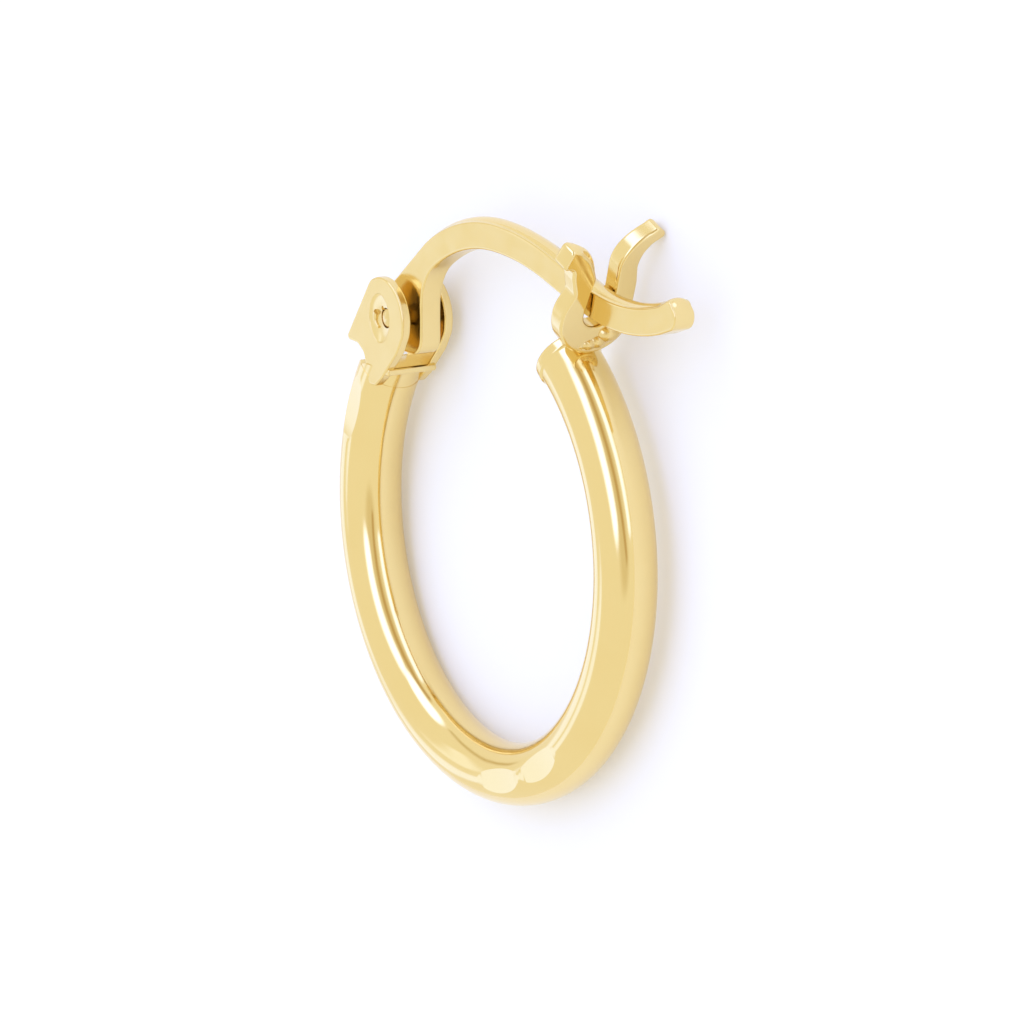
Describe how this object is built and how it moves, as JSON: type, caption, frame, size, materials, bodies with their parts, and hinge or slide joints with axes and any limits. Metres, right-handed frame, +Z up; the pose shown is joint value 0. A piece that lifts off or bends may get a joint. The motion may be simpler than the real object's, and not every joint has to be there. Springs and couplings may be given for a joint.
{
  "type": "hoop earring",
  "caption": "Polished gold hoop earring of round tube, lying on its side, with a hinged saddle wire that clicks down into a fork catch.",
  "frame": {"origin": "middle of the earring's box in plan, at the height of the surface that it lies on", "axes": "+Z up, nearly along the hoop's own axis; +X from the hinge towards the wire's tail; +Y from the hoop's middle towards the saddle wire"},
  "size_m": [0.0198, 0.0198, 0.0034],
  "materials": {
    "hoop_gold": "polished yellow gold",
    "wire_gold": "polished yellow gold",
    "pin_gold": "polished yellow gold"
  },
  "bodies": {
    "hoop_body": {"hoop": "hoop_gold", "hinge_pin": "pin_gold"},
    "wire_body": {"ear_wire": "wire_gold"}
  },
  "joints": [
    {"name": "wire_hinge", "type": "hinge", "parent": "hoop_body", "child": "wire_body", "pos_m": [-0.0064, 0.00487, 0.00143], "axis": [-0.0231, -0.0364, 0.9991], "range_deg": [0, 80]}
  ]
}
